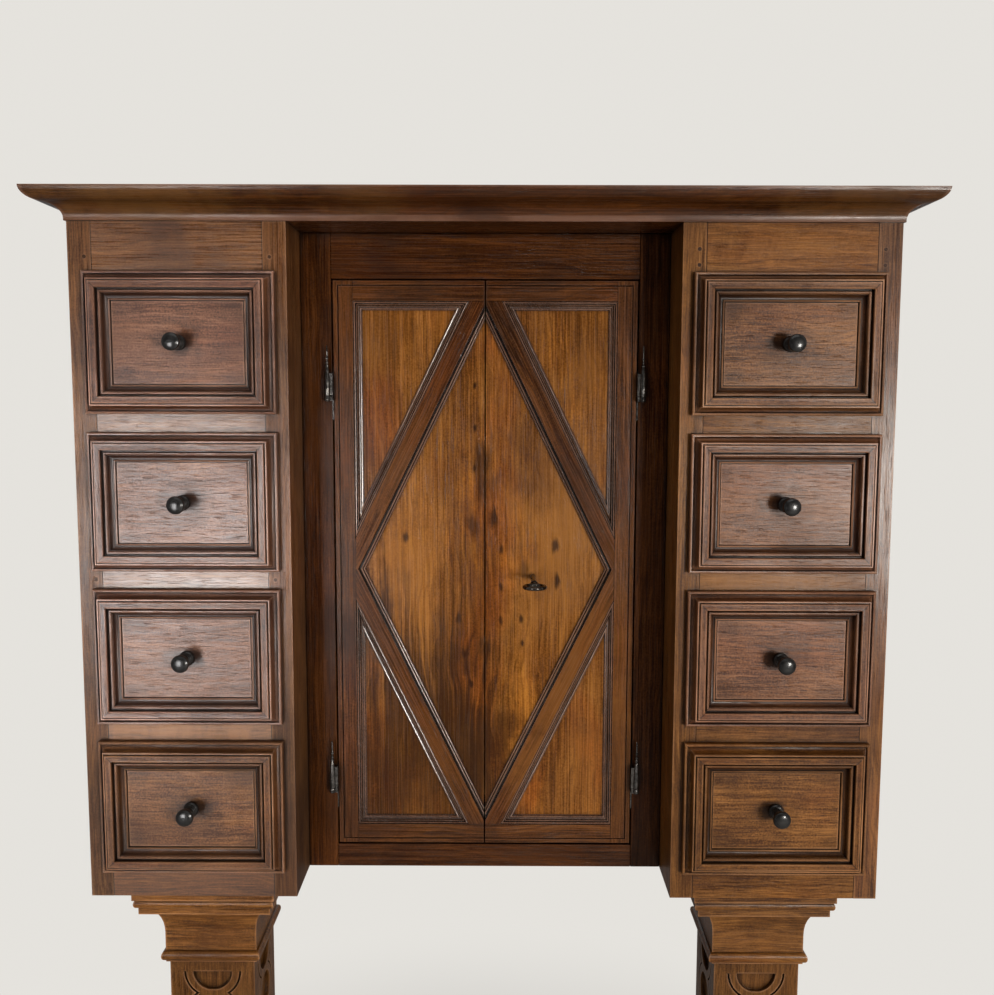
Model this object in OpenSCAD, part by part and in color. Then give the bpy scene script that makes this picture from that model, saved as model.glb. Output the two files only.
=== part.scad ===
// Walnut cabinet on two carved posts: two towers of four drawers beside a recessed cupboard.
// The cupboard's two doors share one raised lozenge. Millimetres, +Z up, +Y towards the back.
// Inside the modules, z = 0 is the underside of the case and y = 0 the front of the towers.

/* [Case] */
// Width of the case across both towers
body_w = 850; // [780:5:960]
// Height of the case from its underside to the top of the planks
body_h = 717; // [717:1:760]
// Depth of the case from the tower fronts to the back
body_d = 230; // [210:5:300]
// Width of each tower
tower_w = 223; // [218:1:240]
// How far the cupboard front lies behind the tower fronts
recess_d = 72; // [60:1:90]
// Thickness of the four upright planks
plank_t = 24; // [20:1:26]
// Thickness of the back boards
back_t = 12; // [8:1:16]
// Thickness of the bottom boards
bottom_t = 18; // [12:1:22]
// Thickness of the top board
top_t = 20; // [14:1:26]
// Depth of the rails between the drawers, front to back
rail_d = 30; // [20:1:40]

/* [Cornice] */
// How far the cornice stands out from the case
cornice_out = 33; // [26:1:44]
// Height of the cornice
cornice_h = 29.5; // [24:0.5:40]
// Small square edge at the foot of the cornice
cornice_fillet = 2; // [1:0.5:3]

/* [Drawers] */
// Height of the rail below the drawers
low_rail_h = 40.5; // [30:0.5:60]
// Height of the rail above the drawers
high_rail_h = 61.5; // [40:0.5:80]
// Height of the rails between the drawers
mid_rail_h = 41; // [30:0.5:50]
// How far a drawer front laps over the planks at both sides
front_lap_x = 10.5; // [6:0.5:14]
// How far a drawer front laps over the rails above and below it
front_lap_z = 11; // [6:0.5:14]
// Thickness of the part of the front that overlaps the case
lip_t = 9; // [7:0.5:12]
// Thickness of the part of the front that enters the opening
plug_t = 12; // [10:0.5:16]
// How far the fronts sit towards the middle of the cabinet
front_shift = 2; // [0:0.5:6]
// Width of the moulding round a drawer front
frame_w = 31; // [26:0.5:36]
// Height of the moulding above the case
frame_h = 20; // [17:0.1:24]
// Room left behind a closed drawer
drawer_room = 13; // [4:1:60]
// Thickness of the drawer sides and back
box_t = 9; // [6:0.5:12]
// Thickness of the drawer bottom
box_bottom_t = 6; // [4:0.5:8]
// How far the drawer sides stop below the top of the opening
box_low = 8; // [2:1:20]
// Width of a drawer runner
runner_w = 16; // [12:1:20]
// Height of a drawer runner
runner_h = 14; // [10:1:18]

/* [Knobs] */
// Radius of the knob head
knob_r = 9.2; // [8:0.1:11]
// Length of a knob from the drawer front to its crown
knob_l = 28; // [26:0.5:36]
// Radius of the tenon that holds the knob
tenon_r = 3.5; // [2.5:0.1:4]
// Length of the tenon
tenon_l = 15; // [10:0.5:18]

/* [Doors] */
// Thickness of the cupboard's front frame
case_frame_t = 22; // [20:1:26]
// Width of the cupboard stiles
stile_w = 33.5; // [30:0.5:40]
// Height of the cupboard's top rail
top_rail_h = 49; // [44:0.5:56]
// Height of the cupboard's bottom rail
bottom_rail_h = 26.5; // [26:0.5:34]
// Gap round each door
door_gap = 1.5; // [1.2:0.1:2.5]
// Thickness of the board that the door is built on
door_board_t = 12; // [10:0.5:14]
// Thickness of the frame laid on the board
overlay_t = 6; // [5:0.5:8]
// Width of the plain outer stile of a door
door_stile_w = 22; // [16:0.5:26]
// Height of the plain top and bottom rail of a door
door_rail_h = 22.5; // [18:0.5:28]
// Width of the bead along the door's outer edges
edge_bead_w = 5; // [4:0.5:8]
// Gap between the corners of the lozenge and the plain rails and stiles
lozenge_in = 2.75; // [0.5:0.25:12]
// Width of the slanting bands beside the lozenge
band_w = 17.5; // [14:0.5:22]
// Width of the moulding round the corner panels
ridge_w = 9.5; // [8:0.5:11]
// Width of the moulding inside the lozenge
lozenge_ridge_w = 7; // [5:0.5:9]

/* [Hinges] */
// How far the hinge axis stands in front of the doors
hinge_out = 7; // [6:0.5:8]
// How far the hinge axis lies beside the door's edge
hinge_side = 6; // [5:0.5:7]
// Radius of the hinge pins
pin_r = 1.5; // [1.2:0.1:1.7]
// Radius of the hinge barrels at their foot
barrel_r = 3.5; // [3.2:0.1:4]
// Thickness of the hinge leaves
leaf_t = 1.2; // [0.9:0.1:1.2]
// Height of the lower hinge above the foot of the door
hinge_low_in = 68.5; // [40:0.5:160]
// Depth of the upper hinge below the head of the door
hinge_high_in = 125.5; // [70:0.5:200]

/* [Lock] */
// Distance of the keyhole from the meeting line of the doors
key_x = 54; // [48:1:60]
// How far the keyhole lies below the middle of the doors
key_drop = 8.75; // [0:0.25:40]
// Radius of the key's stem
key_r = 2.8; // [2.4:0.1:3.2]
// Distance of the middle of the key's bow from the door board
key_reach = 64; // [50:1:66]
// Radius of the key's bow to the middle of its wire
bow_r = 11; // [9:0.5:12]
// Radius of the wire of the bow
bow_wire_r = 2.1; // [1.5:0.1:2.5]
// Width of the lock case
lock_w = 60; // [56:1:66]
// Height of the lock case
lock_h = 52; // [48:1:60]
// Thickness of the lock case
lock_t = 14; // [12:0.5:18]
// Travel of the bolt for a quarter turn of the key
bolt_throw = 10; // [6:0.5:10]

/* [Posts] */
// Height of the posts from the floor to the case
leg_h = 800; // [700:5:860]
// How far the posts stand outside the middle of the towers
leg_out = 2.5; // [0:0.5:6]
// Width of the square shaft
shaft_w = 98; // [90:0.5:104]
// Width of the square plate at the head of each post
plate_w = 160; // [150:1:176]
// Thickness of that plate
plate_t = 24.5; // [20:0.5:32]
// Width of each plinth
plinth_w = 220; // [200:1:240]
// Depth of each plinth
plinth_d = 230; // [200:1:240]
// Height of each plinth
plinth_h = 70; // [50:1:100]
// Outer radius of the carved rings
ring_r = 31; // [28:0.5:36]
// Width of the carved ring's band
ring_band = 8.5; // [7:0.5:11]
// Depth of the carving
carving_d = 5; // [3:0.5:7]
// Plain wood left at both ends of the carving
chord_margin = 14; // [8:1:40]

/* [Fits] */
// Radial clearance of a turning pin or stem
running_fit = 0.05; // [0.03:0.01:0.09]
// Play of a drawer at each side of its opening
drawer_play = 0.75; // [0.5:0.05:1.2]
// Gap between a sliding or loose piece and what carries it
seat_gap = 0.3; // [0.2:0.05:0.5]
// Hairline between the boards of one drawer, and at the mitres of the door mouldings
glue_line = 0.1; // [0.05:0.01:0.15]

/* [Hidden] */
$fn = 48;
left = -1;
right = 1;

// Where the crown of the knobs lies, which is the foremost point of the cabinet
front_y = -lip_t - knob_l;
// Places the middle of the whole cabinet's depth over the origin
shift_y = -(front_y + body_d) / 2;

inner_x = body_w / 2 - tower_w;
opening_x0 = inner_x + plank_t;
opening_x1 = body_w / 2 - plank_t;
opening_w = opening_x1 - opening_x0;
opening_mid_x = (opening_x0 + opening_x1) / 2;
rows = 4;
opening_h = (body_h - low_rail_h - high_rail_h - (rows - 1) * mid_rail_h) / rows;
row_pitch = opening_h + mid_rail_h;
first_row_z = low_rail_h + opening_h / 2;
front_w = opening_w + 2 * front_lap_x;
front_h = opening_h + 2 * front_lap_z;
front_x = opening_mid_x - front_shift;
tower_mid_x = inner_x + tower_w / 2;
back_y = body_d - back_t;
drawer_l = back_y - drawer_room;

door_y = recess_d;
door_x0 = door_gap / 2;
door_x1 = inner_x - stile_w - door_gap;
door_z0 = bottom_rail_h + door_gap;
door_z1 = body_h - top_rail_h - door_gap;
door_mid_z = (door_z0 + door_z1) / 2;
door_t = door_board_t + overlay_t;
board_y = door_y + overlay_t;
door_back_y = door_y + door_t;
hinge_x = door_x1 + hinge_side;
hinge_y = door_y - hinge_out;
hinge_low_z = door_z0 + hinge_low_in;
hinge_high_z = door_z1 - hinge_high_in;
leaf_d = door_t;
key_z = door_mid_z - key_drop;

// Heights and widths of the mouldings at both ends of a post
cap_torus_h = 10.5;
cap_fillet_h = 8;
cap_cove_h = 54;
cap_cove_drop = 33;
cap_bead_h = 12;
cap_step = 1;
neck_h = 2;
neck_out = 3.5;
cove_out = 17.5;
bead_out = 4.5;
edge_in = 5;
capital_h = plate_t + cap_torus_h + cap_fillet_h + cap_cove_h + cap_step + cap_bead_h + neck_h;
base_bead_h = 10;
base_cove_h = 28;
base_fillet_h = 4;
base_torus_h = 16;
base_h = neck_h + base_bead_h + cap_step + base_cove_h + base_fillet_h + base_torus_h;
shaft_h = leg_h - capital_h - base_h - plinth_h;
leg_mid_y = body_d / 2;
shelf_t = 14;
shelf_count = 2;
shelf_z = [
    for (i = [1:shelf_count]) bottom_rail_h + i * (body_h - bottom_rail_h) / (shelf_count + 1) - shelf_t / 2
];
shelf_front_y = door_back_y + lock_t + 2;
batten = 12;
lock_wall = 1.5;
lock_x0 = key_x - 34;
bolt_h = 8;
bolt_t = 5;
bolt_l = 56;
bolt_z = key_z + 12.5;
bit_r = 10.5;
bit_t = 2.2;
peg_r = 1.9;
peg_l = 12;

// Colours of the woods and metals
walnut = [0.36, 0.19, 0.10];
walnut_dark = [0.25, 0.12, 0.07];
walnut_red = [0.40, 0.20, 0.14];
walnut_gold = [0.45, 0.24, 0.10];
inner_wood = [0.62, 0.45, 0.28];
ebony = [0.05, 0.05, 0.05];
iron = [0.16, 0.16, 0.17];
steel = [0.45, 0.44, 0.43];

// Moves a piece from the case's own frame to the cabinet's frame
module placed() {
    translate([0, shift_y, leg_h]) children();
}

// Turns a drawing in the plane, with its heights along z, to face the front
module facing() {
    rotate([90, 0, 0]) children();
}

// Leaves a right-hand piece as it is, or mirrors it to the left
module on_side(side) {
    if (side == right) children();
    else mirror([1, 0, 0]) children();
}

// Points along an elliptical arc about c, with radii r, from angle a0 to a1
function arc_points(c, r, a0, a1, n) = [
    for (i = [0:n]) let (a = a0 + (a1 - a0) * i / n) [c[0] + r[0] * cos(a), c[1] + r[1] * sin(a)]
];

function unit(v) = v / norm(v);
function left_of(v) = [-v[1], v[0]];

// The corner q of the outline p, q, r moved inwards by d on both edges
function inner_corner(p, q, r, d) =
    let (n = left_of(unit(q - p)), m = left_of(unit(r - q))) q + (n + m) * d / (1 + n * m);

// Height of drawer row 1 (top) to rows (bottom)
function row_z(row) = first_row_z + (rows - row) * row_pitch;

// One length of moulding from a to b, mitred at both ends; the profile is [distance in, height]
module strip(a, b, inner_b, inner_a, profile, short = 0) {
    run = norm(b - a);
    end = short * unit(b - a);
    reach = 60;
    intersection() {
        linear_extrude(height = reach) polygon([a + end, b - end, inner_b - end, inner_a + end]);
        translate([a[0], a[1], 0])
            rotate([0, 0, atan2(b[1] - a[1], b[0] - a[0])])
                translate([-reach, 0, 0])
                    rotate([90, 0, 90])
                        linear_extrude(height = run + 2 * reach) polygon(profile);
    }
}

// Mitred moulding round the inside of a convex outline, given counter-clockwise; short leaves the mitres open
module moulded_ring(outline, width, profile, short = 0) {
    n = len(outline);
    inner = [for (i = [0:n - 1]) inner_corner(outline[(i + n - 1) % n], outline[i], outline[(i + 1) % n], width)];
    for (i = [0:n - 1])
        strip(outline[i], outline[(i + 1) % n], inner[(i + 1) % n], inner[i], profile, short);
}

// A square block whose four sides all have the same profile of [half width, height]
module square_moulding(profile) {
    n = len(profile);
    width = 2 * max([for (p = profile) p[0]]) + 2;
    outline = concat(profile, [for (i = [n - 1:-1:0]) [-profile[i][0], profile[i][1]]]);
    intersection() {
        rotate([90, 0, 0]) linear_extrude(height = width, center = true) polygon(outline);
        rotate([90, 0, 90]) linear_extrude(height = width, center = true) polygon(outline);
    }
}

// An upright plank of a tower, from x0 outwards, with its peg holes
module side_plank(side, x0) {
    x = x0 < tower_mid_x ? opening_x0 - peg_inset : opening_x1 + peg_inset;
    color(walnut)
        placed() on_side(side) difference() {
            translate([x0, 0, 0]) cube([plank_t, body_d, body_h]);
            for (z = peg_z(side)) translate([x, peg_l, z]) rotate([90, 0, 0]) cylinder(r = peg_r, h = peg_l + 1);
        }
}

// The five rails of a tower: below, between and above the drawers
module tower_rails(side) {
    color(walnut)
        placed() on_side(side) for (i = [0:rows]) {
            z0 = i == 0 ? 0 : row_z(rows + 1 - i) + opening_h / 2;
            z1 = i == rows ? body_h : row_z(rows - i) - opening_h / 2;
            translate([opening_x0, 0, z0]) cube([opening_w, rail_d, z1 - z0]);
        }
}

// Pegs stand in the planks beside the joints of the rails, on the left in two rails and on the right in one
peg_inset = 7;
function peg_z(side) = let (top = (row_z(1) + opening_h / 2 + body_h) / 2) side == left
    ? [top - 5, row_z(2) - row_pitch / 2] : [top - 12, top + 4];

// The pegs of both towers
module frame_pegs() {
    color(walnut_dark)
        placed() for (side = [left, right], z = peg_z(side), x = [opening_x0 - peg_inset, opening_x1 + peg_inset])
            on_side(side) translate([x, peg_l, z]) rotate([90, 0, 0])
                cylinder(r = peg_r - running_fit / 2, h = peg_l);
}

// The runners that carry the drawers, a pair to each drawer
module tower_runners(side) {
    color(inner_wood)
        placed() on_side(side) for (row = [1:rows], x = [opening_x0, opening_x1 - runner_w])
            translate([x, rail_d, row_z(row) - opening_h / 2 - runner_h])
                cube([runner_w, back_y - rail_d, runner_h]);
}

// The bottoms of both towers and of the cupboard
module bottom_boards() {
    color(walnut)
        placed() {
            for (side = [left, right])
                on_side(side) translate([opening_x0, rail_d, 0]) cube([opening_w, back_y - rail_d, bottom_t]);
            translate([-inner_x, door_y + case_frame_t, bottom_rail_h - bottom_t])
                cube([2 * inner_x, back_y - door_y - case_frame_t, bottom_t]);
        }
}

// The backs of both towers and of the cupboard
module back_boards() {
    color(inner_wood)
        placed() {
            for (side = [left, right])
                on_side(side) translate([opening_x0, back_y, 0]) cube([opening_w, back_t, body_h]);
            translate([-inner_x, back_y, 0]) cube([2 * inner_x, back_t, body_h]);
        }
}

// The board over the whole case; its underside shows above the recess
module top_board() {
    color(walnut)
        placed() translate([-body_w / 2, 0, body_h]) cube([body_w, body_d, top_t]);
}

// Hollow below and round above, ending in a thin edge
cornice_mid = [0.54 * cornice_out, 0.56 * cornice_h];
cornice_profile = concat(
    [[0, 0], [cornice_fillet, 0]],
    arc_points(
        [cornice_mid[0], cornice_fillet],
        [cornice_mid[0] - cornice_fillet, cornice_mid[1] - cornice_fillet], 180, 90, 8
    ),
    arc_points(
        [cornice_mid[0], cornice_h], [cornice_out - cornice_mid[0], cornice_h - cornice_mid[1]], 280, 360, 8
    ),
    [[0, cornice_h]]
);

// The long front length of the cornice
module cornice_front() {
    w = body_w / 2;
    color(walnut)
        placed() translate([0, 0, body_h])
            strip([w, 0], [-w, 0], [-w - cornice_out, -cornice_out], [w + cornice_out, -cornice_out], cornice_profile);
}

// The short lengths of the cornice at both ends
module cornice_returns() {
    w = body_w / 2;
    color(walnut)
        placed() for (side = [left, right])
            on_side(side) translate([0, 0, body_h])
                strip([w, body_d], [w, 0], [w + cornice_out, -cornice_out], [w + cornice_out, body_d], cornice_profile);
}

// The moulding round a drawer front: outer bead, rising hollow, edge, flat band, quirk, bead, hollow, inner bead
rise = frame_h - lip_t;
edge_r = rise / 18;
low_h = lip_t - 0.22 * rise;
frame_profile = let (w = frame_w, edge_h = frame_h - 0.22 * rise, quirk_h = frame_h - 0.5 * rise) concat(
    [[0, 0]],
    arc_points([0.055 * w, low_h], [0.055 * w, 0.16 * rise], 180, 20, 4),
    arc_points([0.12 * w, edge_h], [0.15 * w, edge_h - low_h], 270, 360, 5),
    [[0.275 * w, edge_h + edge_r], [0.315 * w, edge_h + edge_r], [0.32 * w, edge_h - 2 * edge_r]],
    [[0.345 * w, edge_h - 2 * edge_r], [0.35 * w, frame_h - edge_r], [0.35 * w + edge_r, frame_h]],
    [[0.46 * w, frame_h - 0.4 * edge_r], [0.58 * w - edge_r, frame_h], [0.58 * w, frame_h - edge_r]],
    [[0.585 * w, quirk_h], [0.61 * w, quirk_h]],
    arc_points([0.68 * w, quirk_h], [0.065 * w, 0.22 * rise], 180, 0, 5),
    arc_points([0.885 * w, quirk_h], [0.135 * w, quirk_h - lip_t - 0.03 * rise], 180, 270, 5),
    arc_points([0.93 * w, lip_t + 0.03 * rise], [0.04 * w, 0.14 * rise], 180, 0, 4),
    [[0.975 * w, lip_t - 0.1 * rise], [w, lip_t - 0.1 * rise], [w, 0]]
);

// Moves to the middle of a drawer front, on the plane of the tower front
module at_drawer(side, row) {
    translate([side * front_x, 0, row_z(row)]) children();
}

// Outer sizes of the part of a drawer that enters the opening
plug_w = opening_w - 2 * drawer_play;
plug_h = opening_h - 2 * drawer_play;
plug_dz = seat_gap - drawer_play;

// A drawer front: board, mitred moulding and the hole for the knob
module drawer_front(side, row) {
    color(walnut_red)
        placed() at_drawer(side, row) difference() {
            union() {
                translate([side * front_shift - plug_w / 2, 0, -plug_h / 2 + plug_dz]) cube([plug_w, plug_t, plug_h]);
                facing() translate([-front_w / 2, -front_h / 2, 0]) {
                    translate([frame_w, frame_w, 0]) cube([front_w - 2 * frame_w, front_h - 2 * frame_w, lip_t]);
                    moulded_ring([[0, 0], [front_w, 0], [front_w, front_h], [0, front_h]], frame_w, frame_profile);
                }
            }
            translate([0, tenon_l - lip_t, 0]) rotate([90, 0, 0]) cylinder(r = tenon_r, h = tenon_l + 1);
        }
}

// The two sides, the back and the bottom of a drawer
module drawer_box(side, row) {
    h = plug_h - box_low;
    l = drawer_l - plug_t;
    color(inner_wood)
        placed() at_drawer(side, row)
            translate([side * front_shift - plug_w / 2, plug_t, -plug_h / 2 + plug_dz]) {
                cube([box_t, l, h]);
                translate([plug_w - box_t, 0, 0]) cube([box_t, l, h]);
                translate([box_t + glue_line, l - box_t, 0])
                    cube([plug_w - 2 * box_t - 2 * glue_line, box_t, h]);
                translate([box_t + glue_line, 0, 0])
                    cube([plug_w - 2 * box_t - 2 * glue_line, l - box_t - glue_line, box_bottom_t]);
            }
}

// A turned knob along z: round foot, two rings, short neck, flaring head with a low crown
knob_profile = concat(
    [[0, 0]],
    arc_points([knob_r - 3.2, 2.1], [2.1, 2.1], 270, 420, 6),
    [[knob_r - 3.4, 4.8]],
    arc_points([knob_r - 3.4, 6.4], [1.4, 1.1], 270, 450, 4),
    arc_points([knob_r - 3.8, 9.4], [1.1, 1], 270, 450, 4),
    [[knob_r - 4.2, 12], [knob_r - 3.6, knob_l - 13], [knob_r - 1.2, knob_l - 8.6]],
    arc_points([knob_r - 1.3, knob_l - 4.4], [1.3, 2.6], -50, 80, 5),
    arc_points([0, knob_l - 2], [knob_r - 1.5, 2], 8, 90, 6)
);

// The knob of a drawer
module drawer_knob(side, row) {
    color(ebony)
        placed() at_drawer(side, row) translate([0, -lip_t, 0]) rotate([90, 0, 0]) {
            rotate_extrude() polygon(knob_profile);
            translate([0, 0, -tenon_l + 1]) cylinder(r = tenon_r - running_fit, h = tenon_l);
        }
}

// The upright sides of the cupboard's front frame
module cupboard_stiles() {
    color(walnut)
        placed() for (side = [left, right])
            on_side(side) translate([inner_x - stile_w, door_y, 0]) cube([stile_w, case_frame_t, body_h]);
}

// The rails over and under the doors
module cupboard_rails() {
    w = inner_x - stile_w;
    color(walnut)
        placed() {
            translate([-w, door_y, 0]) cube([2 * w, case_frame_t, bottom_rail_h]);
            translate([-w, door_y, body_h - top_rail_h]) cube([2 * w, case_frame_t, top_rail_h]);
        }
}

// Two loose shelves
module cupboard_shelves() {
    color(inner_wood)
        placed() for (z = shelf_z)
            translate([-inner_x + seat_gap, shelf_front_y, z])
                cube([2 * (inner_x - seat_gap), back_y - shelf_front_y - seat_gap, shelf_t]);
}

// The battens that carry the shelves
module shelf_battens() {
    color(inner_wood)
        placed() for (side = [left, right], z = shelf_z)
            on_side(side) translate([inner_x - batten, shelf_front_y + 4, z - batten])
                cube([batten, back_y - shelf_front_y - 8, batten]);
}

// The board that a door is built on; its meeting edge is bevelled so that it clears its neighbour
module door_plank() {
    bevel = 2;
    translate([0, 0, door_z0])
        linear_extrude(height = door_z1 - door_z0)
            polygon([
                [door_x0, board_y], [door_x1, board_y], [door_x1, door_back_y], [door_x0 + bevel, door_back_y]
            ]);
}

// The board of a door; the right one has the keyhole
module door_board(side) {
    color(walnut_gold)
        placed() on_side(side) difference() {
            door_plank();
            if (side == right) translate([key_x, door_back_y + 1, key_z]) {
                rotate([90, 0, 0]) cylinder(r = key_r + running_fit, h = door_board_t + 2);
                translate([-bit_t / 2 - seat_gap, -door_board_t - 2, -bit_r - seat_gap])
                    cube([bit_t + 2 * seat_gap, door_board_t + 2, bit_r]);
            }
        }
}

// Half sizes of the doors' panels and of the lozenge
panel_x = door_x1 - door_stile_w;
panel_z = (door_z1 - door_z0) / 2 - door_rail_h;
lozenge_w = panel_x - lozenge_in;
lozenge_h = panel_z - lozenge_in;

// Height at which the upper slanting band's outer edge stands at x, above the middle of the door
function band_edge(x) = lozenge_h * (1 - x / lozenge_w) + band_w * norm([1, lozenge_h / lozenge_w]);
panel_tip = lozenge_w * (1 - (panel_z - band_w * norm([1, lozenge_h / lozenge_w])) / lozenge_h);

// Outlines on the right-hand door, from the middle of the lozenge
corner_panel = [[panel_tip, panel_z], [panel_x, band_edge(panel_x)], [panel_x, panel_z]];
lozenge = [[0, lozenge_h], [-lozenge_w, 0], [0, -lozenge_h], [lozenge_w, 0]];

module corner_panels_2d() {
    polygon(corner_panel);
    mirror([0, 1]) polygon(corner_panel);
}

// The outline of a door's face, drawn in from its three outer edges by d
module door_face_2d(d) {
    h = door_z1 - door_z0;
    translate([door_x0, -h / 2 + d]) square([door_x1 - door_x0 - d, h - 2 * d]);
}

// The frame laid on a door's board: stile, rails and slanting bands, with a bead along its edges
module door_frame(side) {
    groove = 1.2;
    bead_h = overlay_t - 1;
    color(walnut)
        placed() on_side(side) translate([0, board_y, door_mid_z]) facing() {
            linear_extrude(height = overlay_t - 2.5) difference() {
                door_face_2d(0);
                corner_panels_2d();
                polygon(lozenge);
            }
            linear_extrude(height = bead_h) difference() {
                door_face_2d(0);
                door_face_2d(edge_bead_w);
            }
            linear_extrude(height = overlay_t) difference() {
                door_face_2d(edge_bead_w + groove);
                corner_panels_2d();
                polygon(lozenge);
            }
        }
}

// Round the corner panels: high outer bead, quirk, falling hollow, low inner bead
panel_profile = let (w = ridge_w, h = overlay_t - 0.4) concat(
    [[0, 0]],
    arc_points([0.13 * w, 0.8 * h], [0.11 * w, 0.2 * h], 180, 0, 4),
    [[0.25 * w, 0.5 * h], [0.3 * w, 0.5 * h]],
    arc_points([0.36 * w, 0.58 * h], [0.05 * w, 0.12 * h], 180, 0, 3),
    arc_points([0.68 * w, 0.54 * h], [0.26 * w, 0.36 * h], 180, 270, 4),
    arc_points([0.82 * w, 0.32 * h], [0.12 * w, 0.18 * h], 180, 0, 4),
    [[0.96 * w, 0.1 * h], [w, 0.1 * h], [w, 0]]
);
// Inside the lozenge: broad groove, then two small beads
lozenge_profile = let (w = lozenge_ridge_w, h = overlay_t - 1) concat(
    [[0, 0], [0.15, 0.25 * h], [0.29 * w, 0.25 * h]],
    arc_points([0.47 * w, 0.7 * h], [0.15 * w, 0.22 * h], 180, 0, 4),
    arc_points([0.81 * w, 0.45 * h], [0.15 * w, 0.22 * h], 180, 0, 4),
    [[w, 0]]
);

// The mouldings of a door: round both corner panels and inside the lozenge
module door_mouldings(side) {
    color(walnut_dark)
        placed() on_side(side) translate([0, board_y, door_mid_z]) facing() {
            moulded_ring(corner_panel, ridge_w, panel_profile, glue_line);
            mirror([0, 1, 0]) moulded_ring(corner_panel, ridge_w, panel_profile, glue_line);
            intersection() {
                moulded_ring(lozenge, lozenge_ridge_w, lozenge_profile, glue_line);
                translate([door_x0, -lozenge_h, 0]) cube([lozenge_w, 2 * lozenge_h, overlay_t]);
            }
        }
}

// Moves to the split of a hinge on the right-hand side
module at_hinge(z) {
    translate([hinge_x, hinge_y, z]) children();
}

tongue_t = 1.2;
leaf_h = 26;
foot_h = 6.4;
socket_h = 20;
barrel_h = 31;

// A hinge leaf that reaches from the axis to the gap beside the door, and back into the gap
module leaf(x0, z0, h, tongue_z0, tongue_h) {
    translate([x0, -tongue_t / 2, tongue_z0]) cube([leaf_t, hinge_out + tongue_t / 2 + leaf_d, tongue_h]);
    translate([x0, hinge_out, z0]) cube([leaf_t, leaf_d, h]);
    translate([x0, -tongue_t / 2, tongue_z0]) cube([-x0, tongue_t, tongue_h]);
}

// The fixed halves of the four hinges: foot, pin and leaf in one
module hinge_pins() {
    split = 0.15;
    color(iron)
        placed() for (side = [left, right], z = [hinge_low_z, hinge_high_z])
            on_side(side) at_hinge(z) {
                rotate_extrude() polygon([
                    [0, -foot_h], [barrel_r - 1.2, -foot_h], [barrel_r, -foot_h + 1.4], [barrel_r, -1.4],
                    [barrel_r - 0.4, -split], [0, -split]
                ]);
                translate([0, 0, -1]) cylinder(r = pin_r, h = socket_h);
                leaf(door_gap - leaf_t - hinge_side, -leaf_h, leaf_h - seat_gap, -foot_h + 0.6, foot_h - 1);
            }
}

// The barrel of a hinge with its turned finial
barrel_profile = concat(
    [[0, 0], [barrel_r - 0.3, 0], [barrel_r, 0.8], [barrel_r, 9]],
    [[barrel_r - 0.5, 20], [barrel_r - 1.1, 28], [1.7, barrel_h]],
    arc_points([1.5, barrel_h + 1.4], [1.2, 0.9], -70, 70, 3),
    [[1.1, barrel_h + 3.4]],
    arc_points([1.1, barrel_h + 4.9], [1, 0.9], -70, 70, 3),
    [[0.9, barrel_h + 7.2]],
    arc_points([0.7, barrel_h + 9.6], [1.1, 1.6], -60, 60, 3),
    [[0.9, barrel_h + 12], [1.1, barrel_h + 17], [0.7, barrel_h + 23], [0, barrel_h + 24]]
);

// The turning halves of the two hinges of a door
module hinge_barrels(side) {
    color(iron)
        placed() on_side(side) for (z = [hinge_low_z, hinge_high_z])
            at_hinge(z) difference() {
                union() {
                    rotate_extrude() polygon(barrel_profile);
                    leaf(-hinge_side, seat_gap, leaf_h, seat_gap, leaf_h - 2);
                }
                translate([0, 0, -1]) cylinder(r = pin_r + running_fit, h = socket_h + 1);
            }
}

// The iron lock case on the back of the right door, open towards the door
module lock_case() {
    z0 = key_z - lock_h / 2;
    color(iron)
        placed() difference() {
            translate([lock_x0, door_back_y, z0]) cube([lock_w, lock_t, lock_h]);
            translate([lock_x0 + lock_wall, door_back_y - 1, z0 + lock_wall])
                cube([lock_w - 2 * lock_wall, lock_t - lock_wall + 1, lock_h - 2 * lock_wall]);
            translate([lock_x0 - 1, bolt_y - seat_gap, bolt_z - seat_gap])
                cube([lock_wall + 2, bolt_t + 2 * seat_gap, bolt_h + 2 * seat_gap]);
        }
}
bolt_y = door_back_y + 2.5;

// The sliding bolt of the lock, drawn back behind the door's edge
module lock_bolt() {
    color(steel)
        placed() translate([door_x0 + 2.5, bolt_y, bolt_z]) cube([bolt_l, bolt_t, bolt_h]);
}

// The key a quarter turn from the slot: bow lying level, stem with a collar, bit pointing sideways
module key() {
    stem_l = key_reach - bow_r + door_board_t + lock_t - lock_wall - 1;
    color(steel)
        placed() translate([key_x, board_y, key_z]) {
            translate([0, stem_l - key_reach + bow_r, 0]) rotate([90, 0, 0]) cylinder(r = key_r, h = stem_l);
            translate([0, -key_reach, 0]) rotate_extrude() translate([bow_r, 0]) circle(r = bow_wire_r);
            translate([0, -key_reach + bow_r + 9, 0]) rotate([90, 0, 0]) cylinder(r = key_r + 1.2, h = 3);
            translate([0, door_board_t + 2.5, -bit_t / 2]) cube([bit_r, 8, bit_t]);
        }
}

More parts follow.
